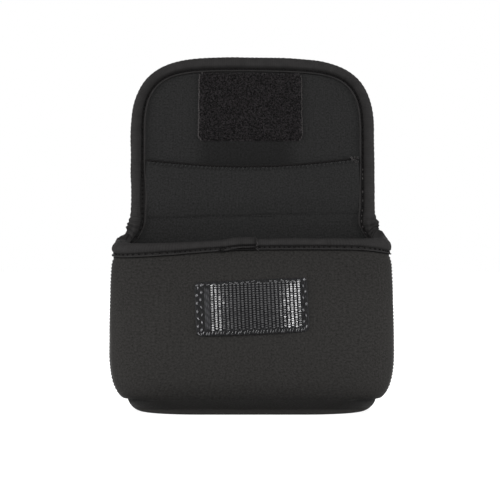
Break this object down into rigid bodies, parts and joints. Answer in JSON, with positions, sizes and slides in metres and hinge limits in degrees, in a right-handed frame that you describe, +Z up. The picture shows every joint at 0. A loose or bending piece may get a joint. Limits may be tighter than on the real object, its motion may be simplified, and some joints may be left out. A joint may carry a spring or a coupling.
{
  "type": "lens pouch",
  "caption": "Soft upright neoprene pouch with a bound mouth, a fold-over flap with an inner pocket, a hook and loop closure and a belt loop on its back.",
  "frame": {"origin": "on the floor under the two side seams, in the middle of the base's flat underside", "axes": "+X to the right seen from the front, +Y to the back, +Z up; the front faces -Y"},
  "size_m": [0.1319, 0.0574, 0.1671],
  "materials": {
    "neoprene": "matt jersey-faced foam",
    "lining": "matt stretch jersey",
    "binding": "satin stretch tape",
    "hook_tape": "woven tape with glossy nylon hooks",
    "loop_tape": "brushed pile",
    "thread": "twisted polyester",
    "webbing": "woven nylon"
  },
  "bodies": {
    "pouch": {"front_panel": "neoprene", "back_panel": "neoprene", "mouth_binding": "binding", "mouth_binding_thread": "thread", "binding_lap": "binding", "base_seam_thread": "thread", "side_seam_thread_left": "thread", "side_seam_thread_right": "thread", "hook_tape": "hook_tape", "hook_tape_thread": "thread", "belt_loop": "webbing", "belt_loop_thread_bottom": "thread", "belt_loop_thread_top": "thread", "crease_strip": "neoprene", "crease_binding_left": "binding", "crease_binding_right": "binding"},
    "flap": {"flap_cover": "neoprene", "flap_pocket": "lining", "pocket_hem_thread": "thread", "pocket_foot_thread": "thread", "cover_binding_left": "binding", "cover_binding_right": "binding", "cover_binding_thread_left": "thread", "cover_binding_thread_right": "thread", "fold_strip": "neoprene", "fold_binding_left": "binding", "fold_binding_right": "binding"},
    "tip": {"flap_tip": "neoprene", "loop_tape": "loop_tape", "loop_tape_thread": "thread", "tip_binding": "binding", "tip_binding_thread": "thread"}
  },
  "joints": [
    {"name": "flap_fold", "type": "hinge", "parent": "pouch", "child": "flap", "pos_m": [0, 0.01325, 0.0896], "axis": [1, 0, 0], "range_deg": [-95, 122], "deforming": ["crease_strip", "crease_binding_left", "crease_binding_right"]},
    {"name": "tip_fold", "type": "hinge", "parent": "flap", "child": "tip", "pos_m": [0, 0.02173, 0.12123], "axis": [1, 0, 0], "range_deg": [-25, 62], "deforming": ["fold_strip", "fold_binding_left", "fold_binding_right"]}
  ]
}
